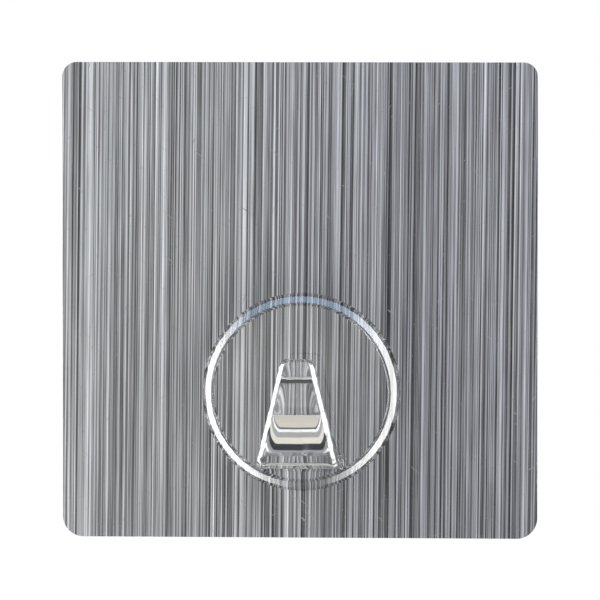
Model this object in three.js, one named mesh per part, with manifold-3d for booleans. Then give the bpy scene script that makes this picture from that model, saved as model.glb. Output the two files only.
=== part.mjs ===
// Adhesive wall hook: a clear moulded hook on a round base, bonded to a square
// laminated sheet that sticks to the wall.
// Millimetres. +Z is up the wall, +X to the right, and the room lies towards -Y.
// The origin is the middle of the adhesive face, where it meets the wall.

import * as THREE from "three";
import { mergeVertices } from "three/addons/utils/BufferGeometryUtils.js";
import Module from "manifold-3d";

const wasm = await Module();
wasm.setup();

// Laminated sheet, layer by layer from the wall outwards
const SHEET_SIDE = 60;
const SHEET_TOP_CORNER = 1.8; // radius of the two upper corners
const SHEET_LOW_CORNER = 2.6; // radius of the two lower corners
const ADHESIVE_THICKNESS = 0.3;
const BACKING_THICKNESS = 0.4;
const PRINT_THICKNESS = 0.1;
const FACE_FILM_THICKNESS = 0.15;

// Seat of the round base on the sheet
const BASE_EDGE_MARGIN = 6; // lower edge of the base to lower edge of the sheet
const BASE_SIDE_SHIFT = 0.3; // the base is stuck on a touch right of the middle
const BOND_THICKNESS = 0.15;
const BOND_INSET = 0.6; // the bond ends this far inside the base's edge

// Round base of the moulding, with a raised rim round its flat middle
const BASE_RADIUS = 12.5;
const BASE_THICKNESS = 1.7;
const RIM_RISE = 0.3;
const RIM_INNER_WIDTH = 0.25;
const RIM_BEVEL_WIDTH = 1.3;
const RIM_BEVEL_ANGLE = THREE.MathUtils.degToRad(36);
const RIM_CREST_ROUND = 0.1;
const RIM_SHOULDER = 0.35;

// Hook in side view: a wedge under a sloping throat, and a tongue with a lip behind its tip
const HOOK_REACH = 9.6; // back of the base to the flat front of the tongue
const TONGUE_THICKNESS = 1.8;
const HOOK_FOOT_MARGIN = 2.9; // lower edge of the base to the hook's root
const ROOT_THICKNESS = 1.8; // height of the root where it leaves the base
const UNDERSIDE_RISE = 0.5; // rise of the underside towards the front
const RAMP_RISE = 6; // rise of the throat's floor from the base to the tongue
const RAMP_BOW = 0.2; // hollow of the throat's floor
const THROAT_CORNER = 0.9; // softness where the throat's floor turns up into the tongue
const FRONT_CORNER = 2.2; // softness of the front's lower edge
const FRONT_HEIGHT = 10.6; // lower edge of the front to the crease under the lip
const LIP_HEIGHT = 3.1;
const LIP_DEPTH = 0.85; // run of the lip into the throat behind the tongue
const LIP_SLOPE = 0.95; // height of the lip's sloping lower face
const LIP_LAND = 0.5; // height of the lip's upright back
const LIP_LEAN = 0.35; // the back leans this far forward from there to the tip
const TIP_ROUND = 0.5;
const TIP_CORNER = 0.75; // radius of the tip's corners in front view

// Hook in front view and across: straight flanks, bevels in front, round edges in the throat
const HOOK_FOOT_WIDTH = 10.7;
const HOOK_TIP_WIDTH = 4;
const FRONT_BEVEL_WIDTH = 0.62;
const FRONT_BEVEL_DEPTH = 0.47;
const BACK_EDGE_WIDTH = 1;
const BACK_EDGE_DEPTH = 0.75;
const THROAT_FILLET = 0.5; // throat floor to base
const ROOT_FILLET = 0.5; // root to base, on the other sides
const ROOT_DEPTH = 0.8; // how far the hook's root runs into the base

// How the ribs of the throat side keep pace with those of the outer side
const RAMP_AT_FRONT_EDGE = [0.42, 0.56]; // shares of the ramp beside the front's lower edge
const UNDERSIDE_AT_RAMP_FOOT = 0.35; // share of the underside beside the foot of the ramp
const TIP_DRAW_IN = 0.42; // largest share of the tip's thickness rounded off on each side
const LEAST_FACING = 0.5; // edges keep their depth down to this slant between rib and face
const EDGE_SHARE = 0.3; // largest share of the thickness that an edge may take

// Smoothness of the rounded shapes
const CORNER_STEPS = 8;
const REVOLVE_STEPS = 96;
const RIM_CURVE_STEPS = 4;
const EDGE_STEPS = 5;
const CURVE_STEPS = 24;
const RUN_STEPS = [6, 8, 7, 8, 2, 2, 1, 3]; // root, underside, edge, front, tongue, lip in three
const TIP_STEPS = 5;

// Levels of the faces above the wall, towards the room
const backingLevel = ADHESIVE_THICKNESS;
const printLevel = backingLevel + BACKING_THICKNESS;
const faceFilmLevel = printLevel + PRINT_THICKNESS;
const bondLevel = faceFilmLevel + FACE_FILM_THICKNESS;
const baseLevel = bondLevel + BOND_THICKNESS;
const baseCentreHeight = BASE_EDGE_MARGIN + BASE_RADIUS - SHEET_SIDE / 2;

// A geometry as a solid that can be joined: only its positions, with shared corners merged.
function toSolid(geometry) {
  const bare = geometry.clone();
  bare.deleteAttribute("normal");
  bare.deleteAttribute("uv");
  const merged = mergeVertices(bare, 1e-4);
  return new wasm.Manifold(
    new wasm.Mesh({
      numProp: 3,
      vertProperties: new Float32Array(merged.attributes.position.array),
      triVerts: new Uint32Array(merged.index.array),
    }),
  );
}

function toGeometry(solid) {
  const mesh = solid.getMesh();
  const geometry = new THREE.BufferGeometry();
  geometry.setAttribute("position", new THREE.BufferAttribute(mesh.vertProperties, 3));
  geometry.setIndex(new THREE.BufferAttribute(mesh.triVerts, 1));
  geometry.computeVertexNormals();
  return geometry;
}

// The square outline with round corners that every layer of the sheet is die-cut to.
function sheetOutline() {
  const half = SHEET_SIDE / 2;
  const high = half - SHEET_TOP_CORNER;
  const low = half - SHEET_LOW_CORNER;
  const outline = new THREE.Shape();
  outline.absarc(high, high, SHEET_TOP_CORNER, 0, Math.PI / 2);
  outline.absarc(-high, high, SHEET_TOP_CORNER, Math.PI / 2, Math.PI);
  outline.absarc(-low, -low, SHEET_LOW_CORNER, Math.PI, 1.5 * Math.PI);
  outline.absarc(low, -low, SHEET_LOW_CORNER, 1.5 * Math.PI, 2 * Math.PI);
  outline.closePath();
  return outline;
}

// One layer of the sheet, whose back lies at a level above the wall.
function sheetLayer(name, level, thickness, material) {
  const geometry = new THREE.ExtrudeGeometry(sheetOutline(), {
    depth: thickness,
    bevelEnabled: false,
    curveSegments: CORNER_STEPS / 2,
  });
  const mesh = new THREE.Mesh(geometry, material);
  mesh.name = name;
  mesh.rotation.x = Math.PI / 2;
  mesh.position.y = -level;
  return mesh;
}

// Section of the round base from its axis outwards: a flat middle, a crest and a bevelled edge.
function baseSection() {
  const bevelFall = Math.tan(RIM_BEVEL_ANGLE);
  const innerFall = RIM_RISE / RIM_INNER_WIDTH;
  const crestRadius = BASE_RADIUS - RIM_BEVEL_WIDTH;
  const crestHeight = BASE_THICKNESS + RIM_RISE;
  const bevelFoot = crestHeight - RIM_BEVEL_WIDTH * bevelFall;
  const section = new THREE.Path();
  section.moveTo(0, 0);
  section.lineTo(BASE_RADIUS, 0);
  section.lineTo(BASE_RADIUS, bevelFoot - RIM_SHOULDER);
  section.quadraticCurveTo(
    BASE_RADIUS,
    bevelFoot,
    BASE_RADIUS - RIM_SHOULDER,
    bevelFoot + RIM_SHOULDER * bevelFall,
  );
  section.lineTo(crestRadius + RIM_CREST_ROUND, crestHeight - RIM_CREST_ROUND * bevelFall);
  section.quadraticCurveTo(
    crestRadius,
    crestHeight,
    crestRadius - RIM_CREST_ROUND,
    crestHeight - RIM_CREST_ROUND * innerFall,
  );
  section.lineTo(crestRadius - RIM_INNER_WIDTH, BASE_THICKNESS);
  section.lineTo(0, BASE_THICKNESS);
  return section.getPoints(RIM_CURVE_STEPS);
}

// How far a fillet of some radius still stands out at a distance from the face that it runs into.
function filletRise(radius, distance) {
  const along = THREE.MathUtils.clamp(radius - distance, 0, radius);
  return radius - Math.sqrt(radius * radius - along * along);
}

function curve(start, control, end) {
  return new THREE.QuadraticBezierCurve(start, control, end).getPoints(CURVE_STEPS);
}

// The parts of a line between shares of its length.
function cutLine(points, shares) {
  const fine = new THREE.Path(points).getSpacedPoints(CURVE_STEPS * CURVE_STEPS);
  const cuts = [0, ...shares, 1].map((share) => Math.round(share * (fine.length - 1)));
  return cuts.slice(1).map((cut, i) => fine.slice(cuts[i], cut + 1));
}

// Heights that the side view and the front view of the hook share, from the middle of the base.
const rootHeight = HOOK_FOOT_MARGIN - BASE_RADIUS;
const frontFootHeight = rootHeight + UNDERSIDE_RISE;
const creaseHeight = frontFootHeight + FRONT_HEIGHT;
const lipHeights = [creaseHeight + LIP_SLOPE, creaseHeight + LIP_SLOPE + LIP_LAND];
const tipHeight = creaseHeight + LIP_HEIGHT;

// Throat side of the hook in side view, in runs from the root to the tip.
// x is the reach from the back of the base, and y the height from the middle of the base.
function throatRuns() {
  const saddle = rootHeight + ROOT_THICKNESS;
  const tongueBack = HOOK_REACH - TONGUE_THICKNESS;
  const start = BASE_THICKNESS - ROOT_DEPTH;
  const rampFoot = new THREE.Vector2(BASE_THICKNESS + THROAT_FILLET, saddle);
  const rampHead = new THREE.Vector2(tongueBack, saddle + RAMP_RISE);

  const root = [];
  for (let i = 0; i <= CURVE_STEPS; i++) {
    const reach = THREE.MathUtils.lerp(start, rampFoot.x, i / CURVE_STEPS);
    const rise = filletRise(THROAT_FILLET, reach - BASE_THICKNESS);
    root.push(new THREE.Vector2(reach, saddle + rise));
  }

  const along = rampHead.clone().sub(rampFoot);
  const below = new THREE.Vector2(along.y, -along.x).setLength(2 * RAMP_BOW);
  const hollow = rampFoot.clone().lerp(rampHead, 0.5).add(below);
  const turnIn = rampHead.clone().sub(rampHead.clone().sub(hollow).setLength(THROAT_CORNER));
  const turnOut = new THREE.Vector2(tongueBack, rampHead.y + THROAT_CORNER);
  const ramp = curve(rampFoot, hollow, rampHead).filter((point) => point.x < turnIn.x);
  ramp.push(...curve(turnIn, rampHead, turnOut));

  const crease = new THREE.Vector2(tongueBack, creaseHeight);
  const [foot, land] = lipHeights.map((y) => new THREE.Vector2(tongueBack - LIP_DEPTH, y));
  const tip = new THREE.Vector2(land.x + LIP_LEAN, tipHeight - TIP_ROUND);
  const lip = [
    [crease, foot],
    [foot, land],
    [land, tip],
  ];
  return [root, ...cutLine(ramp, RAMP_AT_FRONT_EDGE), [turnOut, crease], ...lip];
}

// Outer side of the hook in side view, in as many runs.
function outerRuns(tongueStart) {
  const start = BASE_THICKNESS - ROOT_DEPTH;
  const corner = new THREE.Vector2(HOOK_REACH, frontFootHeight);
  const underside = [];
  for (let i = 0; i <= CURVE_STEPS; i++) {
    const reach = THREE.MathUtils.lerp(start, HOOK_REACH - FRONT_CORNER, i / CURVE_STEPS);
    const out = Math.max(reach - BASE_THICKNESS, 0);
    const rise = (UNDERSIDE_RISE * out) / (HOOK_REACH - BASE_THICKNESS);
    underside.push(new THREE.Vector2(reach, rootHeight + rise - filletRise(ROOT_FILLET, out)));
  }
  const edgeEnd = new THREE.Vector2(HOOK_REACH, frontFootHeight + FRONT_CORNER);
  const edge = curve(underside[CURVE_STEPS], corner, edgeEnd);
  const tongueFoot = new THREE.Vector2(HOOK_REACH, tongueStart);
  const crease = new THREE.Vector2(HOOK_REACH, creaseHeight);
  const [foot, land] = lipHeights.map((y) => new THREE.Vector2(HOOK_REACH, y));
  const tip = new THREE.Vector2(HOOK_REACH, tipHeight - TIP_ROUND);
  return [
    ...cutLine(underside, [UNDERSIDE_AT_RAMP_FOOT]),
    edge,
    [edgeEnd, tongueFoot],
    [tongueFoot, crease],
    [crease, foot],
    [foot, land],
    [land, tip],
  ];
}

// The hook's ribs: pairs of points on its throat side and its outer side, root to tip.
function hookRibs() {
  const throat = throatRuns();
  const outside = outerRuns(throat[4][0].y);
  const ribs = [];
  RUN_STEPS.forEach((steps, run) => {
    const inner = new THREE.Path(throat[run]).getSpacedPoints(steps);
    const outer = new THREE.Path(outside[run]).getSpacedPoints(steps);
    for (let i = run === 0 ? 0 : 1; i <= steps; i++) {
      ribs.push({ inner: inner[i], outer: outer[i] });
    }
  });
  const last = ribs[ribs.length - 1];
  const across = last.outer.clone().sub(last.inner);
  const drawIn = Math.min(TIP_ROUND, TIP_DRAW_IN * across.length());
  for (let i = 1; i <= TIP_STEPS; i++) {
    const turn = (i / TIP_STEPS) * (Math.PI / 2);
    const step = new THREE.Vector2(0, TIP_ROUND * Math.sin(turn));
    const drawn = across.clone().setLength(drawIn * (1 - Math.cos(turn)));
    ribs.push({
      inner: last.inner.clone().add(step).add(drawn),
      outer: last.outer.clone().add(step).sub(drawn),
    });
  }
  return ribs;
}

// Half the hook's width: straight flanks, round corners at the tip and a fillet at the root.
function halfWidth(reach, height) {
  const share = (height - rootHeight) / (tipHeight - rootHeight);
  const straight = THREE.MathUtils.lerp(HOOK_FOOT_WIDTH, HOOK_TIP_WIDTH, share) / 2;
  const root = filletRise(ROOT_FILLET, reach - BASE_THICKNESS);
  return straight + root - filletRise(TIP_CORNER, tipHeight - height);
}

// How squarely a side of the hook looks along one of its ribs.
function facing(ribs, side, index) {
  const before = ribs[Math.max(index - 1, 0)][side];
  const after = ribs[Math.min(index + 1, ribs.length - 1)][side];
  const along = after.clone().sub(before).normalize();
  const rib = ribs[index].outer.clone().sub(ribs[index].inner).normalize();
  return Math.max(Math.abs(along.cross(rib)), LEAST_FACING);
}

// Outline of one rib across the hook: round edges on the throat side and bevels in front.
function ribOutline(ribs, index) {
  const { inner, outer } = ribs[index];
  const thickness = inner.distanceTo(outer);
  const most = EDGE_SHARE * thickness;
  const edgeDepth = Math.min(BACK_EDGE_DEPTH / facing(ribs, "inner", index), most);
  const bevelDepth = Math.min(FRONT_BEVEL_DEPTH / facing(ribs, "outer", index), most);
  const side = [];
  for (let i = 0; i <= EDGE_STEPS; i++) {
    const turn = (i / EDGE_STEPS) * (Math.PI / 2);
    side.push([BACK_EDGE_WIDTH * (1 - Math.sin(turn)), edgeDepth * (1 - Math.cos(turn))]);
  }
  side.push([0, thickness - bevelDepth], [FRONT_BEVEL_WIDTH, thickness]);
  const half = side.map(([inset, out]) => {
    const place = inner.clone().lerp(outer, out / thickness);
    return new THREE.Vector3(halfWidth(place.x, place.y) - inset, -place.x, place.y);
  });
  const mirrored = half.map((point) => new THREE.Vector3(-point.x, point.y, point.z));
  return [...half, ...mirrored.reverse()];
}

// A closed skin through a row of outlines with equally many points, capped at both ends.
function loft(outlines) {
  const count = outlines[0].length;
  const points = outlines.flat();
  const faces = [];
  for (let ring = 0; ring + 1 < outlines.length; ring++) {
    for (let i = 0; i < count; i++) {
      const next = (i + 1) % count;
      const a = ring * count + i;
      const b = ring * count + next;
      faces.push(a, a + count, b, b, a + count, b + count);
    }
  }
  const firstMiddle = points.length;
  const lastMiddle = firstMiddle + 1;
  const lastRing = (outlines.length - 1) * count;
  for (const outline of [outlines[0], outlines[outlines.length - 1]]) {
    const sum = outline.reduce((total, point) => total.add(point), new THREE.Vector3());
    points.push(sum.divideScalar(count));
  }
  for (let i = 0; i < count; i++) {
    const next = (i + 1) % count;
    faces.push(firstMiddle, i, next);
    faces.push(lastMiddle, lastRing + next, lastRing + i);
  }
  const geometry = new THREE.BufferGeometry().setFromPoints(points);
  geometry.setIndex(faces);
  return geometry;
}

// The round base and the hook come out of one mould, so they are one solid.
function hookMoulding(material) {
  const base = new THREE.LatheGeometry(baseSection(), REVOLVE_STEPS);
  base.rotateX(Math.PI);
  const ribs = hookRibs();
  const outlines = ribs.map((rib, index) => ribOutline(ribs, index));
  const solid = toSolid(base).add(toSolid(loft(outlines)));
  const mesh = new THREE.Mesh(toGeometry(solid), material);
  mesh.name = "hook_moulding";
  mesh.position.set(BASE_SIDE_SHIFT, -baseLevel, baseCentreHeight);
  return mesh;
}

// The layer of clear glue between the round base and the face of the sheet.
function hookBond(material) {
  const radius = BASE_RADIUS - BOND_INSET;
  const geometry = new THREE.CylinderGeometry(radius, radius, BOND_THICKNESS, REVOLVE_STEPS);
  const mesh = new THREE.Mesh(geometry, material);
  mesh.name = "hook_bond";
  mesh.position.set(BASE_SIDE_SHIFT, -bondLevel - BOND_THICKNESS / 2, baseCentreHeight);
  return mesh;
}

function finish(colour, roughness, metalness, opacity = 1) {
  return new THREE.MeshStandardMaterial({
    color: colour,
    roughness,
    metalness,
    opacity,
    transparent: opacity < 1,
  });
}

const clearPlastic = finish(0xf2f5f7, 0.05, 0, 0.35);
const clearFilm = finish(0xf4f6f8, 0.12, 0, 0.3);
const clearGlue = finish(0xf3f1ea, 0.2, 0, 0.5);
const brushedPrint = finish(0x8b8b8e, 0.4, 0.3);
const greyVinyl = finish(0xc9cacb, 0.55, 0);
const wallGel = finish(0xe8e6dd, 0.25, 0, 0.8);

const wallHook = new THREE.Group();
wallHook.add(
  sheetLayer("wall_adhesive", 0, ADHESIVE_THICKNESS, wallGel),
  sheetLayer("backing_sheet", backingLevel, BACKING_THICKNESS, greyVinyl),
  sheetLayer("brushed_print_film", printLevel, PRINT_THICKNESS, brushedPrint),
  sheetLayer("clear_face_film", faceFilmLevel, FACE_FILM_THICKNESS, clearFilm),
  hookBond(clearGlue),
  hookMoulding(clearPlastic),
);

export default wallHook;
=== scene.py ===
"""Looks of an adhesive wall hook: a laminated square sheet with a brushed-metal print
and a clear moulded hook on a round base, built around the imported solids."""

import math

import bmesh
import bpy
from bpy.props import FloatProperty, FloatVectorProperty, PointerProperty
from mathutils import Matrix, Vector


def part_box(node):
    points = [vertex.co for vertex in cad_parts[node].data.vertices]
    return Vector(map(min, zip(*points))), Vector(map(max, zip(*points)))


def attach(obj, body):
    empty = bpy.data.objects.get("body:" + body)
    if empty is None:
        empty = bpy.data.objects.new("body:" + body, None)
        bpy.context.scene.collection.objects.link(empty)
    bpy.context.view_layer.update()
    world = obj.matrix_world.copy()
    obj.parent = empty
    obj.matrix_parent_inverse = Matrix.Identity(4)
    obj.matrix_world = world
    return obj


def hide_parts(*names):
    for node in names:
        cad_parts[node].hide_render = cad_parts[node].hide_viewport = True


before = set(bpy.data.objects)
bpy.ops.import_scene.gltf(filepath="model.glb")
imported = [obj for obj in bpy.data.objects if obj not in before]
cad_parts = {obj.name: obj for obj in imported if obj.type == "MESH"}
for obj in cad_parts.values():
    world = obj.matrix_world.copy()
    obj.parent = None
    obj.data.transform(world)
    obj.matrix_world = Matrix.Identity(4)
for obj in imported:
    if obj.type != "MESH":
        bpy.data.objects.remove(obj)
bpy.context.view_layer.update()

bl_info = {
    "name": "Adhesive wall hook",
    "version": (1, 0, 0),
    "blender": (4, 5, 0),
    "location": "View3D > Sidebar > Wall hook",
    "description": "Builds a clear hook on a sticky-backed sheet with a brushed-metal print",
    "category": "Object",
}

MM = 0.001

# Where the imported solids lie, which the pieces below are fitted to
SHEET_LOW, SHEET_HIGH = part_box("backing_sheet")
MOULD_LOW, MOULD_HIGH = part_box("hook_moulding")
BASE_RADIUS = (MOULD_HIGH.x - MOULD_LOW.x) / 2
BASE_CENTRE = Vector((MOULD_LOW.x + BASE_RADIUS, MOULD_HIGH.y, MOULD_LOW.z + BASE_RADIUS))


# Layers of brush lines: lines in a millimetre, change along a millimetre of line, and weight
BRUSH_LINES = (
    (8.0, 0.012, 2.1),
    (4.0, 0.012, 0.65),
    (0.6, 0.015, 0.2),
    (6.0, 0.15, 0.4),
)
LAYER_GAP = 7.3  # between the layers' cuts through the noise
FIRST_LAYER = 0.5
PAINTED_SHADE_SPAN = (-0.45, 0.5)  # where the painted side shade runs, as shares of half the sheet
DARKEST_LINE = 0.02
SCREEN_GAMMA = 2.2
COOL_MIDDLE = 1.03  # blue of the print against its red and green
COOL_SWING = 0.06  # change of that from side to side

# Dust on the film: specks in a millimetre, and where in the noise a speck starts and is full
DUST = (3.2, 0.72, 0.78)
MARK_TONE = (0.75, 0.75, 0.76, 1.0)

# Scratches on the film: turns in radians with a cut through the noise for each
SCRATCHES = ((0.5, 3.1), (-0.7, 8.4), (1.3, 15.2))
SCRATCH_STRETCH = (0.35, 7.0)  # changes in a millimetre, along and across
SCRATCH_RANGE = (0.81, 0.87)  # where in the noise a scratch starts and is full

# Clear plastic
PLASTIC_IOR = 1.585
FILM_IOR = 1.5
POLISH = (0.01, 0.04)  # least and most roughness
HOOK_CLEARANCE = 0.4  # millimetres above the face of the base where the hook's shade starts
RIM_BLEND = 0.4  # millimetres over which the rim's painted shade and its lower share of passing lamp light come in
LIGHT_PASSED = 0.93  # share of a lamp's light that passes the base
HOOK_SHADE = 0.13  # how much less passes the hook
RIM_SHADE = 0.45  # how much less passes the rim

# Runs of the hook's two sides, cut at shares of the ramp and of the underside, and their steps
RAMP_CUTS = (0.42, 0.56)
UNDERSIDE_CUTS = (0.35,)
RUN_STEPS = (30, 30, 24, 40, 12, 60)
TIP_STEPS = 16
TIP_DRAW_LIMIT = 0.42  # largest share of the thickness that the round tip draws in
EDGE_SHARE = 0.3  # largest share of the thickness that an edge may take
SMOOTH_ANGLE = math.radians(32)

# Lights of the ring lamp: turn in degrees, where each starts and is full, and its colour
RING_LIGHTS = (
    (195, 0.35, 0.95, "left_light", (1.0, 1.0, 1.0)),
    (-8, 0.2, 0.9, "right_light", (1.0, 1.0, 1.0)),
    (90, 0.3, 0.95, "top_light", (0.5, 0.72, 1.0)),
    (270, 0.3, 0.95, "low_light", (1.0, 0.97, 0.9)),
)
RING_STEPS = 96

# Other lamps: turn and lean in degrees, distance and size in metres, and setting
LAMPS = (
    ("key_lamp", 180, 40, 0.5, (0.3, 0.07), "key_light"),
    ("back_lamp", 60, 145, 0.7, (0.5, 0.5), "back_light"),
)

# Glowing cards below and above the hook, seen only in gloss and glass, whose tones are painted light:
# a lit floor with shaded strips,
# and a dark strip above. Columns: height, and from and to towards the wall, in millimetres, and colour
CARDS = (
    ("card_front", -290, -300, -112, (0.06, 0.07, 0.09)),
    ("card_beige", -290, -112, -32, (0.61, 0.58, 0.51)),
    ("card_line", -290, -32, -25, (0.05, 0.05, 0.06)),
    ("card_grey", -290, -14, 8, (0.35, 0.35, 0.35)),
    ("card_cream", -290, 8, 34, (0.77, 0.74, 0.66)),
    ("card_dark", -290, 34, 63, (0.0, 0.0, 0.01)),
    ("card_grey_behind", -290, 63, 130, (0.3, 0.31, 0.33)),
    ("card_above", 340, -500, 300, (0.03, 0.03, 0.03)),
)
CARD_HALF = 0.25  # half the cards' width in metres

# Floor, in metres
FLOOR_REACH = 4.0
FLOOR_BLEND = (0.2, 1.2)  # from the shadow below the object to plain white
FLOOR_WHITE = 0.5  # share of plain white below the object


# Sizes and colours that a user would change


def length(name, description, millimetres):
    return FloatProperty(
        name=name,
        description=description,
        default=millimetres * MM,
        precision=5,
        unit="LENGTH",
        subtype="DISTANCE",
    )


def angle(name, description, degrees):
    return FloatProperty(
        name=name,
        description=description,
        default=math.radians(degrees),
        unit="ROTATION",
        subtype="ANGLE",
    )


def share(name, description, value):
    return FloatProperty(name=name, description=description, default=value, subtype="FACTOR")


def colour(name, description, value):
    return FloatVectorProperty(
        name=name,
        description=description,
        default=value,
        size=3,
        min=0.0,
        max=1.0,
        subtype="COLOR",
    )


class SheetSettings(bpy.types.PropertyGroup):
    """Outline and finish of the laminated sheet"""

    top_corner: length("Top corners", "Radius of the sheet's upper corners", 1.8)
    low_corner: length("Low corners", "Radius of the sheet's lower corners", 2.6)
    edge_round: length("Edge round", "Softness of each layer's cut edge", 0.03)
    glue_line: length("Glue line", "Clear line between two layers", 0.012)
    slant: FloatProperty(
        name="Line slant",
        description="Sideways run of the brush lines for each unit of height",
        default=0.0115,
    )
    tone: share("Tone", "Middle grey of the print, as shown on a screen", 0.525)
    contrast: share("Contrast", "Strength of the brush lines", 0.43)
    dark_lines: share("Dark lines", "Extra strength of the darker brush lines", 0.25)
    # Painted light: these two make the print lighter at the left and at the top, as if lit more
    # strongly from there
    painted_side_shade: share("Side shade", "How much lighter the print is at the left", 0.09)
    painted_top_shade: share("Top shade", "How much lighter the print is at the top", 0.05)
    wear: share("Wear", "Strength of the dust and scratches on the film", 0.45)
    vinyl: colour("Vinyl", "Colour of the backing sheet", (0.55, 0.55, 0.56))
    gel: colour("Gel", "Colour of the wall adhesive", (0.74, 0.73, 0.69))


class MouldingSettings(bpy.types.PropertyGroup):
    """Shape of the clear moulding"""

    base_thickness: length("Base thickness", "Height of the flat middle of the base", 1.7)
    rim_rise: length("Rim rise", "Height of the rim above the flat middle", 0.3)
    rim_inner: length("Rim inner slope", "Width of the rim's inner slope", 0.25)
    rim_bevel: length("Rim bevel", "Width of the rim's outer bevel", 1.3)
    rim_angle: angle("Rim bevel angle", "Slope of the rim's outer bevel", 36)
    crest_round: length("Crest round", "Softness of the rim's crest", 0.15)
    shoulder: length("Shoulder", "Softness of the bevel's outer end", 0.45)
    reach: length("Reach", "Back of the base to the hook's flat front", 9.6)
    tongue: length("Tongue thickness", "Thickness of the tongue", 1.8)
    foot_margin: length("Foot margin", "Lower edge of the base to the hook's root", 2.9)
    root_thickness: length("Root thickness", "Height of the hook's root on the base", 1.8)
    underside_rise: length("Underside rise", "Rise of the underside towards the front", 0.5)
    ramp_rise: length("Ramp rise", "Rise of the throat's floor towards the tongue", 6)
    ramp_bow: length("Ramp bow", "Hollow of the throat's floor", 0.2)
    throat_corner: length("Throat corner", "Softness between the floor and the tongue", 0.9)
    front_corner: length("Front corner", "Softness of the front's lower edge", 1.4)
    front_height: length("Front height", "Lower edge of the front to the crease under the lip", 10.6)
    lip_height: length("Lip height", "Height of the lip at the tip", 3.1)
    lip_depth: length("Lip depth", "Run of the lip into the throat behind the tongue", 0.95)
    lip_slope: length("Lip slope", "Height of the lip's sloping lower face", 0.9)
    lip_land: length("Lip land", "Height of the lip's upright back", 0.5)
    lip_lean: length("Lip lean", "Lean of the lip's back from there to the tip", 0.15)
    lip_soft: length("Lip softness", "Softness of the lip's corners", 0.12)
    tip_round: length("Tip round", "Roundness of the tip", 0.5)
    tip_corner: length("Tip corner", "Radius of the tip's corners seen from the front", 0.75)
    foot_width: length("Foot width", "Width of the hook at its root", 10.7)
    tip_width: length("Tip width", "Width of the hook at its tip", 4)
    edge_width: length("Back edge width", "Width of the round edges on the throat side", 1.9)
    edge_depth: length("Back edge depth", "Depth of the round edges on the throat side", 0.55)
    bevel_width: length("Bevel width", "Width of the bevels along the hook's front", 0.62)
    bevel_depth: length("Bevel depth", "Depth of the bevels along the hook's front", 0.45)
    bevel_soft: length("Bevel softness", "Softness of the bevels' edges", 0.1)
    throat_fillet: length("Throat fillet", "Fillet from the throat to the base", 0.5)
    root_fillet: length("Root fillet", "Fillet from the hook's root to the base", 0.5)
    root_depth: length("Root depth", "Run of the hook's root into the base", 0.8)
    seam_width: length("Seam width", "Half width of the mould's seam line", 0.05)
    seam_rise: length("Seam rise", "Height of the mould's seam line", 0.02)
    mark_length: length("Mark length", "Length of each parting mark on the base", 1.5)
    mark_out: length("Mark distance", "Parting marks to the middle of the base", 5.5)
    mark_drop: length("Mark drop", "Parting marks below the middle of the base", 8.9)
    tint: colour("Tint", "Tint of the clear plastic", (0.985, 0.99, 0.99))
    # Painted shade: a darker tint in the thick rim stands in for the shadow under the rim seen through
    # its bevel
    rim_painted_shade: colour("Rim tint", "Tint of the plastic in the thick rim", (0.6, 0.62, 0.64))


class StageSettings(bpy.types.PropertyGroup):
    """Camera, floor and lamps"""

    azimuth: angle("Azimuth", "Camera's turn to the right of straight on", 4.0)
    elevation: angle("Elevation", "Camera's height above the horizon", 3.0)
    distance: length("Distance", "Camera to the middle of the sheet", 900)
    frame_width: length("Frame width", "Width of the picture at the sheet", 75.7)
    floor_drop: length("Floor drop", "Floor below the middle of the sheet", 340)
    ring_distance: length("Ring distance", "Ring lamp to the hook's base", 300)
    ring_width: angle("Ring width", "Width of the ring lamp seen from the hook", 8)
    left_light: FloatProperty(name="Left light", description="Brightness at the left", default=17.0)
    right_light: FloatProperty(name="Right light", description="Brightness at the right", default=15.0)
    top_light: FloatProperty(name="Top light", description="Brightness above", default=5.0)
    low_light: FloatProperty(name="Low light", description="Brightness below", default=1.0)
    back_light: FloatProperty(name="Back lamp", description="Brightness behind the sheet", default=5.0)
    key_light: FloatProperty(name="Key lamp", description="Brightness at the front left", default=10.0)


SETTINGS = {
    "hook_sheet": SheetSettings,
    "hook_moulding": MouldingSettings,
    "hook_stage": StageSettings,
}


# Mesh helpers


def add_piece(name, mesh, replaced):
    """A new piece on the part's one body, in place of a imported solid."""
    piece = bpy.data.objects.new(name, mesh)
    bpy.context.scene.collection.objects.link(piece)
    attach(piece, "root")
    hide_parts(replaced)
    return piece


def arc(centre, radius, start, end, steps):
    """Points along an arc, both ends included."""
    points = []
    for i in range(steps + 1):
        turn = start + (end - start) * i / steps
        points.append(
            Vector((centre[0] + radius * math.cos(turn), centre[1] + radius * math.sin(turn)))
        )
    return points


def bezier(start, control, end, steps):
    """Points along a quadratic curve, both ends included."""
    points = []
    for i in range(steps + 1):
        t = i / steps
        points.append(
            Vector(start) * (1 - t) ** 2 + Vector(control) * 2 * t * (1 - t) + Vector(end) * t**2
        )
    return points


def skin_mesh(name, vertices, faces):
    mesh = bpy.data.meshes.new(name)
    mesh.from_pydata([tuple(v) for v in vertices], [], faces)
    mesh.validate()
    work = bmesh.new()
    work.from_mesh(mesh)
    bmesh.ops.remove_doubles(work, verts=work.verts, dist=1e-8)
    bmesh.ops.recalc_face_normals(work, faces=work.faces)
    work.to_mesh(mesh)
    work.free()
    return mesh


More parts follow.
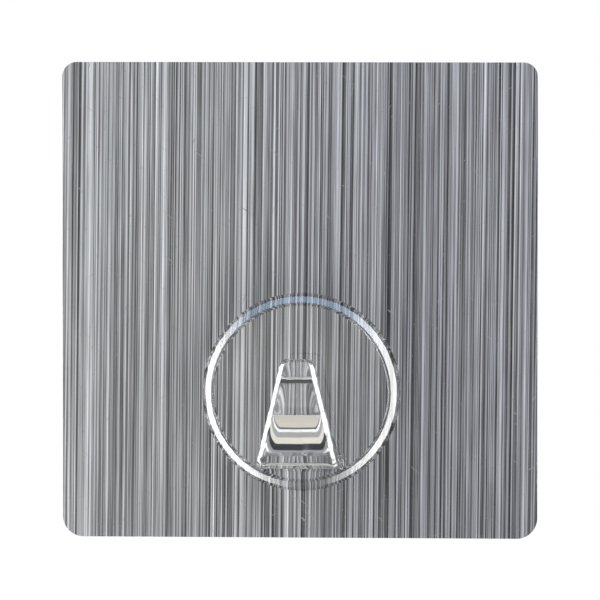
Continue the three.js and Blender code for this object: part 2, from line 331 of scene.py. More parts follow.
def sheet_mesh(name, sheet, back, front):
    """A square layer with round corners from one level above the wall to another."""
    half = (SHEET_HIGH.x - SHEET_LOW.x) / 2
    quarter = math.pi / 2
    outline = []
    for i, (sx, sz) in enumerate(((1, 1), (-1, 1), (-1, -1), (1, -1))):
        corner = sheet.top_corner if sz > 0 else sheet.low_corner
        inner = half - corner
        outline += arc((sx * inner, sz * inner), corner, i * quarter, (i + 1) * quarter, 16)
    work = bmesh.new()
    ring = [work.verts.new((p.x, -back, p.y)) for p in outline]
    face = work.faces.new(ring)
    raised = bmesh.ops.extrude_face_region(work, geom=[face])
    moved = [v for v in raised["geom"] if isinstance(v, bmesh.types.BMVert)]
    bmesh.ops.translate(work, verts=moved, vec=(0, back - front, 0))
    bmesh.ops.recalc_face_normals(work, faces=work.faces)
    rims = [e for e in work.edges if len({round(v.co.y, 9) for v in e.verts}) == 1]
    bmesh.ops.bevel(work, geom=rims, offset=sheet.edge_round, segments=3, profile=0.5, affect="EDGES")
    mesh = bpy.data.meshes.new(name)
    work.to_mesh(mesh)
    work.free()
    for polygon in mesh.polygons:
        polygon.use_smooth = polygon.area < 1e-4
    return mesh


# Node helpers


def new_material(name):
    material = bpy.data.materials.new(name)
    material.use_nodes = True
    material.node_tree.nodes.clear()
    return material, material.node_tree


def put(tree, socket, value):
    """Links a socket, or sets it to a plain value."""
    if isinstance(value, bpy.types.NodeSocket):
        tree.links.new(value, socket)
    else:
        socket.default_value = value


def add_node(tree, kind, values=None, **settings):
    node = tree.nodes.new(kind)
    for name, setting in settings.items():
        setattr(node, name, setting)
    for name, value in (values or {}).items():
        put(tree, node.inputs[name], value)
    return node


def maths(tree, operation, first, second=0.0):
    node = add_node(tree, "ShaderNodeMath", {0: first, 1: second}, operation=operation)
    return node.outputs[0]


def own_place(tree):
    """Place on the part in millimetres, as three sockets."""
    coordinates = add_node(tree, "ShaderNodeTexCoord")
    scaled = add_node(
        tree,
        "ShaderNodeVectorMath",
        {0: coordinates.outputs["Object"], 1: (1 / MM, 1 / MM, 1 / MM)},
        operation="MULTIPLY",
    )
    split = add_node(tree, "ShaderNodeSeparateXYZ", {0: scaled.outputs[0]})
    return scaled.outputs[0], split.outputs[0], split.outputs[1], split.outputs[2]


def from_axis(tree, x, z):
    """Distance from the axis of the round base in millimetres."""
    dx = maths(tree, "SUBTRACT", x, BASE_CENTRE.x / MM)
    dz = maths(tree, "SUBTRACT", z, BASE_CENTRE.z / MM)
    squares = maths(tree, "ADD", maths(tree, "POWER", dx, 2.0), maths(tree, "POWER", dz, 2.0))
    return maths(tree, "SQRT", squares)


def noise(tree, vector, scale, detail=0.0, roughness=0.5):
    node = add_node(
        tree,
        "ShaderNodeTexNoise",
        {"Vector": vector, "Scale": scale, "Detail": detail, "Roughness": roughness},
    )
    return node.outputs[0]


def seen_rays(tree):
    """One for what the eye sees, straight on or in gloss or glass."""
    path = add_node(tree, "ShaderNodeLightPath")
    seen = maths(tree, "MAXIMUM", path.outputs["Is Camera Ray"], path.outputs["Is Glossy Ray"])
    return maths(tree, "MAXIMUM", seen, path.outputs["Is Transmission Ray"])


def end_material(tree, shader):
    output = add_node(tree, "ShaderNodeOutputMaterial")
    tree.links.new(shader, output.inputs["Surface"])


# Finishes


def brushed_print(sheet):
    """Grey lines of many widths that run up the sheet with a slight slant."""
    material, tree = new_material("brushed_print")
    _, x, _, z = own_place(tree)
    across = maths(tree, "SUBTRACT", x, maths(tree, "MULTIPLY", z, sheet.slant))
    total = None
    for seed, (density, drift, weight) in enumerate(BRUSH_LINES):
        place = add_node(
            tree,
            "ShaderNodeCombineXYZ",
            {
                0: maths(tree, "MULTIPLY", across, density),
                1: maths(tree, "MULTIPLY", z, drift),
                2: LAYER_GAP * seed + FIRST_LAYER,
            },
        )
        line = noise(tree, place.outputs[0], 1.0)
        swing = maths(tree, "MULTIPLY", maths(tree, "SUBTRACT", line, 0.5), weight)
        total = swing if total is None else maths(tree, "ADD", total, swing)
    darker = maths(tree, "MULTIPLY", maths(tree, "MINIMUM", total, 0.0), sheet.dark_lines)
    total = maths(tree, "ADD", total, darker)
    # Painted light: a broad ramp makes the print lighter towards the left and a rise makes it lighter
    # towards the top; the same ramp also shifts the print's blue from side to side
    half = (SHEET_HIGH.x - SHEET_LOW.x) / 2 / MM
    fade = add_node(
        tree,
        "ShaderNodeMapRange",
        {
            "Value": across,
            "From Min": PAINTED_SHADE_SPAN[0] * half,
            "From Max": PAINTED_SHADE_SPAN[1] * half,
            "To Min": 0.5,
            "To Max": -0.5,
        },
        interpolation_type="SMOOTHSTEP",
    )
    painted_left_light = maths(tree, "MULTIPLY", fade.outputs[0], sheet.painted_side_shade)
    painted_top_light = maths(tree, "MULTIPLY", z, sheet.painted_top_shade / (2 * half))
    tone = maths(tree, "ADD", maths(tree, "ADD", painted_left_light, painted_top_light), sheet.tone)
    shown = maths(tree, "ADD", maths(tree, "MULTIPLY", total, sheet.contrast), tone)
    level = maths(tree, "POWER", maths(tree, "MAXIMUM", shown, DARKEST_LINE), SCREEN_GAMMA)
    swing = maths(tree, "MULTIPLY", fade.outputs[0], COOL_SWING)
    cool = maths(tree, "SUBTRACT", COOL_MIDDLE, swing)
    grey = add_node(
        tree,
        "ShaderNodeCombineXYZ",
        {0: level, 1: level, 2: maths(tree, "MULTIPLY", level, cool)},
    )
    shader = add_node(
        tree,
        "ShaderNodeBsdfPrincipled",
        {"Base Color": grey.outputs[0], "Roughness": 0.6, "Specular IOR Level": 0.0},
    )
    end_material(tree, shader.outputs[0])
    return material


def clear_film(sheet):
    """Clear film that only adds its gloss and wear, and none where the base is bonded to it."""
    material, tree = new_material("clear_film")
    _, x, _, z = own_place(tree)
    bare = maths(tree, "GREATER_THAN", from_axis(tree, x, z), BASE_RADIUS / MM - 0.05)
    geometry = add_node(tree, "ShaderNodeNewGeometry")
    outside = maths(tree, "SUBTRACT", 1.0, geometry.outputs["Backfacing"])
    open_face = maths(tree, "MULTIPLY", bare, outside)
    fresnel = add_node(tree, "ShaderNodeFresnel", {"IOR": FILM_IOR})
    gloss = maths(tree, "MULTIPLY", fresnel.outputs[0], open_face)
    clear = add_node(tree, "ShaderNodeBsdfTransparent")
    shine = add_node(tree, "ShaderNodeBsdfGlossy", {"Roughness": 0.03})
    mixed = add_node(
        tree, "ShaderNodeMixShader", {0: gloss, 1: clear.outputs[0], 2: shine.outputs[0]}
    )
    marks = maths(tree, "MULTIPLY", wear_marks(tree, sheet), open_face)
    pale = add_node(tree, "ShaderNodeBsdfDiffuse", {"Color": MARK_TONE})
    worn = add_node(
        tree, "ShaderNodeMixShader", {0: marks, 1: mixed.outputs[0], 2: pale.outputs[0]}
    )
    end_material(tree, worn.outputs[0])
    return material


def wear_marks(tree, sheet):
    """Sparse dust and short scratches, as a share of the surface."""
    place, x, _, z = own_place(tree)
    density, start, full = DUST
    specks = noise(tree, place, density, 1.0)
    dust = add_node(
        tree, "ShaderNodeMapRange", {"Value": specks, "From Min": start, "From Max": full}
    )
    total = dust.outputs[0]
    long_way, short_way = SCRATCH_STRETCH
    start, full = SCRATCH_RANGE
    for turn, seed in SCRATCHES:
        along = maths(
            tree,
            "ADD",
            maths(tree, "MULTIPLY", x, math.cos(turn)),
            maths(tree, "MULTIPLY", z, math.sin(turn)),
        )
        over = maths(
            tree,
            "SUBTRACT",
            maths(tree, "MULTIPLY", z, math.cos(turn)),
            maths(tree, "MULTIPLY", x, math.sin(turn)),
        )
        spot = add_node(
            tree,
            "ShaderNodeCombineXYZ",
            {
                0: maths(tree, "MULTIPLY", along, long_way),
                1: maths(tree, "MULTIPLY", over, short_way),
                2: seed,
            },
        )
        line = add_node(
            tree,
            "ShaderNodeMapRange",
            {"Value": noise(tree, spot.outputs[0], 1.0), "From Min": start, "From Max": full},
        )
        total = maths(tree, "MAXIMUM", total, line.outputs[0])
    return maths(tree, "MULTIPLY", total, sheet.wear)


def clear_plastic(moulding):
    """Polished clear plastic that lets the lamps through to what lies under it."""
    material, tree = new_material("clear_plastic")
    place, x, y, z = own_place(tree)
    polish = add_node(
        tree,
        "ShaderNodeMapRange",
        {"Value": noise(tree, place, 0.8, 4.0), "To Min": POLISH[0], "To Max": POLISH[1]},
    )
    face = (BASE_CENTRE.y - moulding.base_thickness) / MM
    hook_side = maths(tree, "LESS_THAN", y, face - HOOK_CLEARANCE)
    crest = (BASE_RADIUS - moulding.rim_bevel) / MM
    rim = add_node(
        tree,
        "ShaderNodeMapRange",
        {"Value": from_axis(tree, x, z), "From Min": crest - RIM_BLEND, "From Max": crest},
    )
    by_hook = maths(tree, "MULTIPLY", hook_side, HOOK_SHADE)
    by_rim = maths(tree, "MULTIPLY", rim.outputs[0], RIM_SHADE)
    passed = maths(tree, "SUBTRACT", LIGHT_PASSED, by_hook)
    passed = maths(tree, "SUBTRACT", passed, by_rim)
    dimmed = add_node(tree, "ShaderNodeCombineXYZ", {0: passed, 1: passed, 2: passed})
    clear = add_node(tree, "ShaderNodeBsdfTransparent", {"Color": dimmed.outputs[0]})
    # Painted shade: the plastic is tinted darker in the rim, for the shadow under the rim seen through
    # its bevel
    tint = add_node(
        tree,
        "ShaderNodeMix",
        {"Factor": rim.outputs[0], "A": (*moulding.tint, 1.0), "B": (*moulding.rim_painted_shade, 1.0)},
        data_type="RGBA",
    )
    glass = add_node(
        tree,
        "ShaderNodeBsdfPrincipled",
        {
            "Base Color": tint.outputs["Result"],
            "Roughness": polish.outputs[0],
            "IOR": PLASTIC_IOR,
            "Transmission Weight": 1.0,
        },
    )
    path = add_node(tree, "ShaderNodeLightPath")
    mixed = add_node(
        tree,
        "ShaderNodeMixShader",
        {0: path.outputs["Is Shadow Ray"], 1: glass.outputs[0], 2: clear.outputs[0]},
    )
    end_material(tree, mixed.outputs[0])
    return material


def bonded_underside():
    """Underside of the base, where the glue carries the light on without a break."""
    material, tree = new_material("bonded_underside")
    clear = add_node(tree, "ShaderNodeBsdfTransparent")
    end_material(tree, clear.outputs[0])
    return material


def clear_glue():
    """Cured glue, so close to the plastic in its bend of light that it hardly shows."""
    material, tree = new_material("clear_glue")
    place, _, _, _ = own_place(tree)
    cloud = noise(tree, place, 0.4, 3.0)
    tone = add_node(
        tree,
        "ShaderNodeMix",
        {"Factor": cloud, "A": (0.96, 0.96, 0.95, 1.0), "B": (1.0, 1.0, 1.0, 1.0)},
        data_type="RGBA",
    )
    clear = add_node(tree, "ShaderNodeBsdfTransparent", {"Color": tone.outputs["Result"]})
    end_material(tree, clear.outputs[0])
    return material


def grained(name, base, shade, grain_size, relief, roughness):
    """A solid finish with cloudy tone, fine grain and an uneven sheen."""
    material, tree = new_material(name)
    place, _, _, _ = own_place(tree)
    cloud = noise(tree, place, 0.25, 4.0, 0.6)
    tone = add_node(
        tree,
        "ShaderNodeMix",
        {"Factor": cloud, "A": (*(c * shade for c in base), 1.0), "B": (*base, 1.0)},
        data_type="RGBA",
    )
    grain = noise(tree, place, 1 / grain_size, 3.0)
    bump = add_node(
        tree, "ShaderNodeBump", {"Strength": 0.5, "Distance": relief * MM, "Height": grain}
    )
    sheen = add_node(
        tree,
        "ShaderNodeMapRange",
        {"Value": cloud, "To Min": roughness - 0.08, "To Max": roughness + 0.08},
    )
    shader = add_node(
        tree,
        "ShaderNodeBsdfPrincipled",
        {
            "Base Color": tone.outputs["Result"],
            "Roughness": sheen.outputs[0],
            "Normal": bump.outputs[0],
        },
    )
    end_material(tree, shader.outputs[0])
    return material


def sticky_gel(base):
    """Clear soft adhesive, a little cloudy, with small trapped bubbles."""
    material, tree = new_material("sticky_gel")
    place, _, _, _ = own_place(tree)
    cloud = noise(tree, place, 0.15, 5.0, 0.65)
    cells = add_node(tree, "ShaderNodeTexVoronoi", {"Vector": place, "Scale": 0.55})
    bubble = add_node(
        tree,
        "ShaderNodeMapRange",
        {"Value": cells.outputs["Distance"], "From Min": 0.12, "From Max": 0.2},
        interpolation_type="SMOOTHSTEP",
    )
    pale = add_node(
        tree,
        "ShaderNodeMix",
        {"Factor": cloud, "A": (*(c * 0.86 for c in base), 1.0), "B": (*base, 1.0)},
        data_type="RGBA",
    )
    tone = add_node(
        tree,
        "ShaderNodeMix",
        {"Factor": bubble.outputs[0], "A": (*base, 1.0), "B": pale.outputs["Result"]},
        data_type="RGBA",
    )
    relief = maths(tree, "ADD", maths(tree, "MULTIPLY", cloud, 0.5), bubble.outputs[0])
    bump = add_node(
        tree, "ShaderNodeBump", {"Strength": 0.35, "Distance": 0.05 * MM, "Height": relief}
    )
    shader = add_node(
        tree,
        "ShaderNodeBsdfPrincipled",
        {
            "Base Color": tone.outputs["Result"],
            "Roughness": 0.16,
            "Subsurface Weight": 0.25,
            "Subsurface Scale": 0.3 * MM,
            "Normal": bump.outputs[0],
        },
    )
    end_material(tree, shader.outputs[0])
    return material


# Moulding


def base_section(m):
    """Half section of the round base from its axis outwards, as (radius, height)."""
    fall = math.tan(m.rim_angle)
    inner_fall = m.rim_rise / m.rim_inner
    crest = BASE_RADIUS - m.rim_bevel
    top = m.base_thickness + m.rim_rise
    foot = top - m.rim_bevel * fall
    points = [Vector((0, 0)), Vector((BASE_RADIUS, 0))]
    points += bezier(
        (BASE_RADIUS, foot - m.shoulder),
        (BASE_RADIUS, foot),
        (BASE_RADIUS - m.shoulder, foot + m.shoulder * fall),
        14,
    )
    points += bezier(
        (crest + m.crest_round, top - m.crest_round * fall),
        (crest, top),
        (crest - m.crest_round, top - m.crest_round * inner_fall),
        10,
    )
    points += [Vector((crest - m.rim_inner, m.base_thickness)), Vector((0, m.base_thickness))]
    return points


def revolved_mesh(name, section, steps):
    """A solid of revolution about the axis towards the room."""
    vertices = []
    faces = []
    count = len(section)
    for i in range(steps):
        turn = 2 * math.pi * i / steps
        for p in section:
            vertices.append((p.x * math.cos(turn), -p.y, p.x * math.sin(turn)))
    for i in range(steps):
        j = (i + 1) % steps
        for k in range(count - 1):
            corners = [i * count + k, i * count + k + 1, j * count + k + 1, j * count + k]
            if section[k].x == 0:
                corners = corners[:3]
            elif section[k + 1].x == 0:
                corners = [corners[0], corners[1], corners[3]]
            faces.append(corners)
    return skin_mesh(name, vertices, faces)


def fillet_rise(radius, distance):
    along = min(max(radius - distance, 0.0), radius)
    return radius - math.sqrt(radius * radius - along * along)


def resampled(points, steps):
    """The same line with evenly spaced points, both ends included."""
    lengths = [0.0]
    for a, b in zip(points, points[1:]):
        lengths.append(lengths[-1] + (b - a).length)
    result = []
    k = 0
    for i in range(steps + 1):
        want = lengths[-1] * i / steps
        while k < len(points) - 2 and lengths[k + 1] < want:
            k += 1
        span = max(lengths[k + 1] - lengths[k], 1e-12)
        result.append(points[k].lerp(points[k + 1], (want - lengths[k]) / span))
    return result


def bowed(start, end, bow, steps):
    """A shallow curve that hangs below the straight line by the given bow."""
    middle = (start + end) / 2
    side = Vector((end.y - start.y, start.x - end.x)).normalized()
    return bezier(start, middle + side * 2 * bow, end, steps)


def softened(points, soft):
    """The same line with its inner corners rounded."""
    line = [points[0]]
    for before, corner, after in zip(points, points[1:], points[2:]):
        into = corner + (before - corner).normalized() * soft
        out = corner + (after - corner).normalized() * soft
        line += bezier(into, corner, out, 6)
    return line + [points[-1]]


def split(points, shares):
    """Cuts a line into runs at shares of its length."""
    fine = resampled(points, 1000)
    cuts = [0] + [round(1000 * value) for value in shares] + [1000]
    return [fine[a : b + 1] for a, b in zip(cuts, cuts[1:])]


def hook_ribs(m):
    """The hook in side view: pairs of points on the throat side and the outer side."""
    root = m.foot_margin - BASE_RADIUS
    saddle = root + m.root_thickness
    front = m.reach
    back = front - m.tongue
    low = root + m.underside_rise
    crease = low + m.front_height
    top = crease + m.lip_height
    start = m.base_thickness - m.root_depth

    ramp_low = Vector((m.base_thickness + m.throat_fillet, saddle))
    ramp_high = Vector((back, saddle + m.ramp_rise))
    ramp = bowed(ramp_low, ramp_high, m.ramp_bow, 60)
    leave = (ramp[-1] - ramp[-2]).normalized()
    turn_in = ramp_high - leave * m.throat_corner
    turn_out = ramp_high + Vector((0, m.throat_corner))
    ramp = [p for p in ramp if p.x < turn_in.x] + bezier(turn_in, ramp_high, turn_out, 24)

    floor = []
    under = []
    slope = m.underside_rise / (front - m.base_thickness)
    for i in range(41):
        h = start + (ramp_low.x - start) * i / 40
        floor.append(Vector((h, saddle + fillet_rise(m.throat_fillet, h - m.base_thickness))))
        h = start + (front - m.front_corner - start) * i / 40
        rise = slope * max(h - m.base_thickness, 0.0)
        under.append(Vector((h, root + rise - fillet_rise(m.root_fillet, h - m.base_thickness))))
    corner = Vector((front, low))
    turn = bezier(under[-1], corner, corner + Vector((0, m.front_corner)), 16)

    tip_level = top - m.tip_round
    barb = back - m.lip_depth
    lip_foot = Vector((barb, crease + m.lip_slope))
    lip_land = Vector((barb, lip_foot.y + m.lip_land))
    lip_tip = Vector((barb + m.lip_lean, tip_level))
    lip = softened([turn_out, Vector((back, crease)), lip_foot, lip_land, lip_tip], m.lip_soft)
    lip = [p for p in lip if p.y > crease]
    inner_runs = [floor, *split(ramp, RAMP_CUTS)]
    inner_runs.append([turn_out, Vector((back, crease - m.lip_soft)), lip[0]])
    inner_runs.append(lip)
    outer_runs = [*split(under, UNDERSIDE_CUTS), turn]
    outer_runs.append([turn[-1], Vector((front, turn_out.y))])
    outer_runs.append([Vector((front, turn_out.y)), Vector((front, lip[0].y))])
    outer_runs.append([Vector((front, lip[0].y)), Vector((front, tip_level))])
    ribs = []
    for inner, outer, steps in zip(inner_runs, outer_runs, RUN_STEPS):
        pairs = list(zip(resampled(inner, steps), resampled(outer, steps)))
        ribs += pairs if not ribs else pairs[1:]
    last_inner, last_outer = ribs[-1]
    across = last_outer - last_inner
    draw_in = min(m.tip_round / across.length, TIP_DRAW_LIMIT)
    for i in range(1, TIP_STEPS + 1):
        angle_now = math.pi / 2 * i / TIP_STEPS
        drawn = across * draw_in * (1 - math.cos(angle_now))
        step = Vector((0, m.tip_round * math.sin(angle_now)))
        ribs.append((last_inner + step + drawn, last_outer + step - drawn))
    return ribs, root, top


def half_width(m, root, top, reach, height):
    """Half the hook's width: straight flanks, round tip corners and a fillet at the root."""
    t = (height - root) / (top - root)
    half = (m.foot_width + (m.tip_width - m.foot_width) * t) / 2
    half += fillet_rise(m.root_fillet, reach - m.base_thickness)
    return half - fillet_rise(m.tip_corner, top - height)


def facing(line, way):
    """How squarely each point's surface looks along the rib there."""
    result = []
    for i, rib in enumerate(way):
        along = (line[min(i + 1, len(line) - 1)] - line[max(i - 1, 0)]).normalized()
        result.append(max(abs(along.x * rib.y - along.y * rib.x), 0.5))
    return result


def rib_outline(m, inner, outer, inner_facing, outer_facing, half_at):
    """Section across the hook: bevelled edges at the front and round edges at the back."""
    thickness = (outer - inner).length
    way = (outer - inner) / thickness
    wide = m.bevel_width
    deep = min(m.bevel_depth / outer_facing, EDGE_SHARE * thickness)
    soft = m.bevel_soft
    slope = Vector((wide, deep)).normalized() * soft
    low = Vector((0.0, thickness - deep))
    high = Vector((wide, thickness))
    edge_deep = min(m.edge_depth / inner_facing, EDGE_SHARE * thickness)
    half = []
    for i in range(15):
        turn = math.pi / 2 * i / 14
        half.append(
            Vector((m.edge_width * (1 - math.sin(turn)), edge_deep * (1 - math.cos(turn))))
        )
    half += bezier(low - Vector((0, soft)), low, low + slope, 6)
    half += bezier(high - slope, high, high + Vector((soft, 0)), 6)
    outline = []
    for p in half:
        place = inner + p.y * way
        outline.append(Vector((max(half_at(place.x, place.y) - p.x, 2 * m.seam_width), p.y)))
    outline.append(Vector((m.seam_width, thickness)))
    ridge = Vector((0.0, thickness + m.seam_rise))
    mirrored = [Vector((-p.x, p.y)) for p in reversed(outline)]
    outline += [ridge] + mirrored
    return [(p.x, -(inner.x + p.y * way.x), inner.y + p.y * way.y) for p in outline]


def lofted_mesh(name, outlines):
    count = len(outlines[0])
    vertices = [p for outline in outlines for p in outline]
    faces = []
    for ring in range(len(outlines) - 1):
        for i in range(count):
            j = (i + 1) % count
            a = ring * count
            faces.append((a + i, a + j, a + count + j, a + count + i))
    faces.append(tuple(range(count)))
    last = (len(outlines) - 1) * count
    faces.append(tuple(range(last, last + count)))
    return skin_mesh(name, vertices, faces)


def parting_mark(m, start):
    """A fine ridge on the face of the base, where two halves of the mould met."""
    low = -(m.base_thickness - m.seam_width)
    top = -(m.base_thickness + m.seam_rise)
    middle = -m.mark_drop
    outline = [(low, middle - m.seam_width), (top, middle), (low, middle + m.seam_width)]
    vertices = [(x, y, z) for x in (start, start + m.mark_length) for y, z in outline]
    faces = [(0, 1, 2), (3, 5, 4), (0, 3, 4, 1), (1, 4, 5, 2), (2, 5, 3, 0)]
    return skin_mesh("parting_mark", vertices, faces)


def joined_mesh(name, meshes):
    """One closed mesh from several that overlap."""
    parts = []
    for i, mesh in enumerate(meshes):
        part = bpy.data.objects.new(f"{name}_{i}", mesh)
        bpy.context.scene.collection.objects.link(part)
        parts.append(part)
    for part in parts[1:]:
        union = parts[0].modifiers.new(part.name, "BOOLEAN")
        union.operation = "UNION"
        union.solver = "EXACT"
        union.object = part
    bpy.context.view_layer.update()
    graph = bpy.context.evaluated_depsgraph_get()
    joined = bpy.data.meshes.new_from_object(parts[0].evaluated_get(graph))
    if not joined.polygons:
        raise RuntimeError(f"{name} could not be joined")
    joined.name = name
    for part in parts:
        bpy.data.objects.remove(part)
    return joined


class WALLHOOK_OT_sheet(bpy.types.Operator):
    """Builds the layers of the sheet, from the wall adhesive to the clear film"""

    bl_idname = "wall_hook.sheet"
    bl_label = "Laminated sheet"

    def execute(self, context):
        sheet = context.scene.hook_sheet
        finishes = {
            "wall_adhesive": sticky_gel(sheet.gel),
            "backing_sheet": grained("grey_vinyl", sheet.vinyl, 0.88, 0.12, 0.02, 0.5),
            "brushed_print_film": brushed_print(sheet),
            "clear_face_film": clear_film(sheet),
        }
        for node, finish in finishes.items():
            low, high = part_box(node)
            front = -low.y
            back = -high.y
            if node != "wall_adhesive":
                back += sheet.glue_line
            mesh = sheet_mesh(node, sheet, back, front)
            mesh.materials.append(finish)
            add_piece(f"{node}_look", mesh, node)
        return {"FINISHED"}


class WALLHOOK_OT_bond(bpy.types.Operator):
    """Builds the glue layer under the round base"""

    bl_idname = "wall_hook.bond"
    bl_label = "Hook bond"

    def execute(self, context):
        sheet = context.scene.hook_sheet
        low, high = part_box("hook_bond")
        radius = (high.x - low.x) / 2
        thickness = high.y - low.y - 2 * sheet.glue_line
        section = [
            Vector((0, 0)),
            Vector((radius - thickness / 2, 0)),
            Vector((radius, thickness / 2)),
            Vector((radius - thickness / 2, thickness)),
            Vector((0, thickness)),
        ]
        mesh = revolved_mesh("hook_bond", section, 128)
        middle = Vector((BASE_CENTRE.x, high.y - sheet.glue_line, BASE_CENTRE.z))
        mesh.transform(Matrix.Translation(middle))
        mesh.materials.append(clear_glue())
        add_piece("hook_bond_look", mesh, "hook_bond")
        return {"FINISHED"}


class WALLHOOK_OT_moulding(bpy.types.Operator):
    """Builds the clear moulding: a round rimmed base and a hook with a lip behind its tip"""

    bl_idname = "wall_hook.moulding"
    bl_label = "Clear moulding"

    def execute(self, context):
        m = context.scene.hook_moulding
        base = revolved_mesh("base", base_section(m), 256)
        ribs, root, top = hook_ribs(m)
        inner_line = [inner for inner, _ in ribs]
        outer_line = [outer for _, outer in ribs]
        way = [(outer - inner).normalized() for inner, outer in ribs]
        shares = zip(facing(inner_line, way), facing(outer_line, way))
        outlines = [
            rib_outline(m, inner, outer, *share_pair, lambda h, z: half_width(m, root, top, h, z))
            for (inner, outer), share_pair in zip(ribs, shares)
        ]
        hook = lofted_mesh("hook", outlines)
        marks = [parting_mark(m, start) for start in (-m.mark_out - m.mark_length, m.mark_out)]
        mesh = joined_mesh("hook_moulding_look", [base, hook, *marks])
        mesh.materials.clear()
        mesh.materials.append(clear_plastic(m))
        mesh.materials.append(bonded_underside())
        for polygon in mesh.polygons:
            if polygon.normal.y > 0.99 and polygon.center.y > -0.01 * MM:
                polygon.material_index = 1
        mesh.shade_smooth()
        mesh.set_sharp_from_angle(angle=SMOOTH_ANGLE)
        mesh.transform(Matrix.Translation(BASE_CENTRE))
        add_piece("hook_moulding_look", mesh, "hook_moulding")
        return {"FINISHED"}


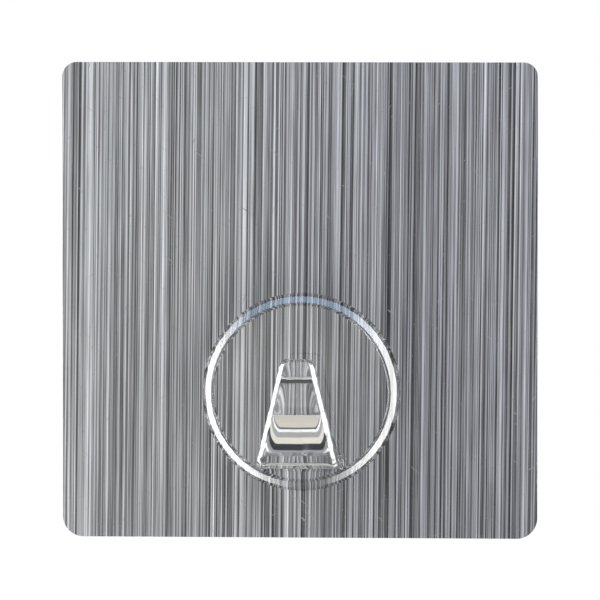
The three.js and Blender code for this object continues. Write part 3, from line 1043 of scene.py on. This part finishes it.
class WALLHOOK_OT_stage(bpy.types.Operator):
    """Sets up the floor, the lamps and the camera"""

    bl_idname = "wall_hook.stage"
    bl_label = "Stage"

    def execute(self, context):
        stage = context.scene.hook_stage
        scene = context.scene
        scene.view_settings.view_transform = "Standard"
        scene.cycles.transparent_max_bounces = 32
        scene.cycles.transmission_bounces = 24
        scene.cycles.max_bounces = 24
        self.add_floor(stage)
        self.add_world(scene)
        self.add_ring_lamp(stage, 2 * scene.hook_moulding.rim_angle)
        for name, turn, lean, distance, size, setting in LAMPS:
            self.add_lamp(name, turn, lean, distance, size, getattr(stage, setting))
        for name, level, near, far, tone in CARDS:
            z = BASE_CENTRE.z + level * MM
            across = (-CARD_HALF, CARD_HALF, CARD_HALF, -CARD_HALF)
            depths = (near, near, far, far)
            self.add_card(name, [(x, y * MM, z) for x, y in zip(across, depths)], tone)
        camera_data = bpy.data.cameras.new("camera")
        camera = bpy.data.objects.new("camera", camera_data)
        scene.collection.objects.link(camera)
        way = Vector(
            (
                math.sin(stage.azimuth) * math.cos(stage.elevation),
                -math.cos(stage.azimuth) * math.cos(stage.elevation),
                math.sin(stage.elevation),
            )
        )
        camera.location = way * stage.distance
        camera.rotation_euler = (-way).to_track_quat("-Z", "Y").to_euler()
        camera_data.sensor_width = 36.0
        camera_data.lens = camera_data.sensor_width * stage.distance / stage.frame_width
        camera_data.clip_start = 0.01
        scene.camera = camera
        return {"FINISHED"}

    def add_floor(self, stage):
        """White to the eye and in gloss and glass, with the object's shadow near it."""
        mesh = bpy.data.meshes.new("floor")
        reach = FLOOR_REACH
        z = -stage.floor_drop
        mesh.from_pydata(
            [(-reach, -reach, z), (reach, -reach, z), (reach, reach, z), (-reach, reach, z)],
            [],
            [(0, 1, 2, 3)],
        )
        material, tree = new_material("pale_floor")
        matt = add_node(tree, "ShaderNodeBsdfDiffuse", {"Color": (0.8, 0.8, 0.8, 1.0)})
        white = add_node(tree, "ShaderNodeEmission", {"Strength": 1.0})
        coordinates = add_node(tree, "ShaderNodeTexCoord")
        flat = add_node(
            tree,
            "ShaderNodeVectorMath",
            {0: coordinates.outputs["Object"], 1: (1.0, 1.0, 0.0)},
            operation="MULTIPLY",
        )
        away = add_node(tree, "ShaderNodeVectorMath", {0: flat.outputs[0]}, operation="LENGTH")
        share_white = add_node(
            tree,
            "ShaderNodeMapRange",
            {
                "Value": away.outputs["Value"],
                "From Min": FLOOR_BLEND[0],
                "From Max": FLOOR_BLEND[1],
                "To Min": FLOOR_WHITE,
                "To Max": 1.0,
            },
        )
        shown = maths(tree, "MULTIPLY", share_white.outputs[0], seen_rays(tree))
        mixed = add_node(
            tree, "ShaderNodeMixShader", {0: shown, 1: matt.outputs[0], 2: white.outputs[0]}
        )
        end_material(tree, mixed.outputs[0])
        mesh.materials.append(material)
        floor = bpy.data.objects.new("floor", mesh)
        bpy.context.scene.collection.objects.link(floor)

    def add_card(self, name, corners, tone):
        """A glowing card that the clear plastic mirrors or bends to the front; its tone is painted
        light, a lit or shaded strip of the surroundings.
        """
        mesh = bpy.data.meshes.new(name)
        mesh.from_pydata(corners, [], [(0, 1, 2, 3)])
        material, tree = new_material(name)
        glow = add_node(tree, "ShaderNodeEmission", {"Color": (*tone, 1.0), "Strength": 1.0})
        end_material(tree, glow.outputs[0])
        mesh.materials.append(material)
        card = bpy.data.objects.new(name, mesh)
        bpy.context.scene.collection.objects.link(card)
        card.visible_camera = False
        card.visible_diffuse = False
        card.visible_shadow = False

    def add_world(self, scene):
        world = bpy.data.worlds.new("studio")
        world.use_nodes = True
        tree = world.node_tree
        tree.nodes.clear()
        room = add_node(tree, "ShaderNodeBackground", {"Color": (0.06, 0.063, 0.068, 1.0)})
        white = add_node(tree, "ShaderNodeBackground", {"Color": (1.0, 1.0, 1.0, 1.0)})
        mixed = add_node(
            tree,
            "ShaderNodeMixShader",
            {0: seen_rays(tree), 1: room.outputs[0], 2: white.outputs[0]},
        )
        output = add_node(tree, "ShaderNodeOutputWorld")
        tree.links.new(mixed.outputs[0], output.inputs["Surface"])
        scene.world = world

    def add_ring_lamp(self, stage, mirror):
        """A band of light where the rim's bevel mirrors it to the camera, white at the sides,
        bluish above and warm below."""
        vertices = []
        faces = []
        for i in range(RING_STEPS):
            turn = 2 * math.pi * i / RING_STEPS
            out = Vector((math.cos(turn), 0.0, math.sin(turn)))
            shift = stage.azimuth * out.x + stage.elevation * out.z
            for side in (-0.5, 0.5):
                lean = mirror - shift + side * stage.ring_width
                away = out * math.sin(lean) + Vector((0.0, -math.cos(lean), 0.0))
                vertices.append(away * stage.ring_distance)
            j = (i + 1) % RING_STEPS
            faces.append((2 * i, 2 * i + 1, 2 * j + 1, 2 * j))
        mesh = bpy.data.meshes.new("ring_lamp")
        mesh.from_pydata([tuple(v) for v in vertices], [], faces)
        material, tree = new_material("ring_light")
        coordinates = add_node(tree, "ShaderNodeTexCoord")
        radius = stage.ring_distance * math.sin(mirror)
        shader = None
        for turn, near, far, setting, tone in RING_LIGHTS:
            way = math.radians(turn)
            towards = add_node(
                tree,
                "ShaderNodeVectorMath",
                {0: coordinates.outputs["Object"], 1: (math.cos(way), 0.0, math.sin(way))},
                operation="DOT_PRODUCT",
            )
            part = add_node(
                tree,
                "ShaderNodeMapRange",
                {
                    "Value": towards.outputs["Value"],
                    "From Min": near * radius,
                    "From Max": far * radius,
                    "To Max": getattr(stage, setting),
                },
                interpolation_type="SMOOTHSTEP",
            )
            glow = add_node(
                tree, "ShaderNodeEmission", {"Color": (*tone, 1.0), "Strength": part.outputs[0]}
            )
            if shader is None:
                shader = glow.outputs[0]
            else:
                added = add_node(tree, "ShaderNodeAddShader", {0: shader, 1: glow.outputs[0]})
                shader = added.outputs[0]
        end_material(tree, shader)
        mesh.materials.append(material)
        lamp = bpy.data.objects.new("ring_lamp", mesh)
        bpy.context.scene.collection.objects.link(lamp)
        lamp.location = BASE_CENTRE
        lamp.visible_camera = False
        lamp.visible_shadow = False
        lamp.visible_transmission = False

    def add_lamp(self, name, turn, lean, distance, size, strength):
        """A lamp turned round the hook's axis and leaning away from it, both in degrees."""
        turn = math.radians(turn)
        lean = math.radians(lean)
        data = bpy.data.lights.new(name, "AREA")
        data.shape = "RECTANGLE"
        data.size = size[0]
        data.size_y = size[1]
        data.energy = strength * math.pi * size[0] * size[1]
        lamp = bpy.data.objects.new(name, data)
        lamp.visible_transmission = False
        lamp.visible_glossy = False
        bpy.context.scene.collection.objects.link(lamp)
        out = Vector((math.cos(turn), 0.0, math.sin(turn)))
        away = out * math.sin(lean) + Vector((0.0, -math.cos(lean), 0.0))
        along = Vector((-math.sin(turn), 0.0, math.cos(turn)))
        lamp.location = BASE_CENTRE + away * distance
        lamp.rotation_euler = Matrix((along, away.cross(along), away)).transposed().to_euler()


class WALLHOOK_PT_sidebar(bpy.types.Panel):
    """Lists the pieces of the wall hook and their settings"""

    bl_label = "Wall hook"
    bl_idname = "WALLHOOK_PT_sidebar"
    bl_space_type = "VIEW_3D"
    bl_region_type = "UI"
    bl_category = "Wall hook"

    def draw(self, context):
        for operator in OPERATORS:
            self.layout.operator(operator.bl_idname)
        for name, group in SETTINGS.items():
            box = self.layout.box()
            for key in group.__annotations__:
                box.prop(getattr(context.scene, name), key)


OPERATORS = (
    WALLHOOK_OT_stage,
    WALLHOOK_OT_sheet,
    WALLHOOK_OT_bond,
    WALLHOOK_OT_moulding,
)


def register():
    for group in SETTINGS.values():
        bpy.utils.register_class(group)
    for name, group in SETTINGS.items():
        setattr(bpy.types.Scene, name, PointerProperty(type=group))
    for cls in (*OPERATORS, WALLHOOK_PT_sidebar):
        bpy.utils.register_class(cls)


def unregister():
    for cls in (WALLHOOK_PT_sidebar, *reversed(OPERATORS)):
        bpy.utils.unregister_class(cls)
    for name, group in SETTINGS.items():
        delattr(bpy.types.Scene, name)
        bpy.utils.unregister_class(group)


def main():
    register()
    bpy.ops.wall_hook.stage()
    bpy.ops.wall_hook.sheet()
    bpy.ops.wall_hook.bond()
    bpy.ops.wall_hook.moulding()


if __name__ == "__main__":
    main()
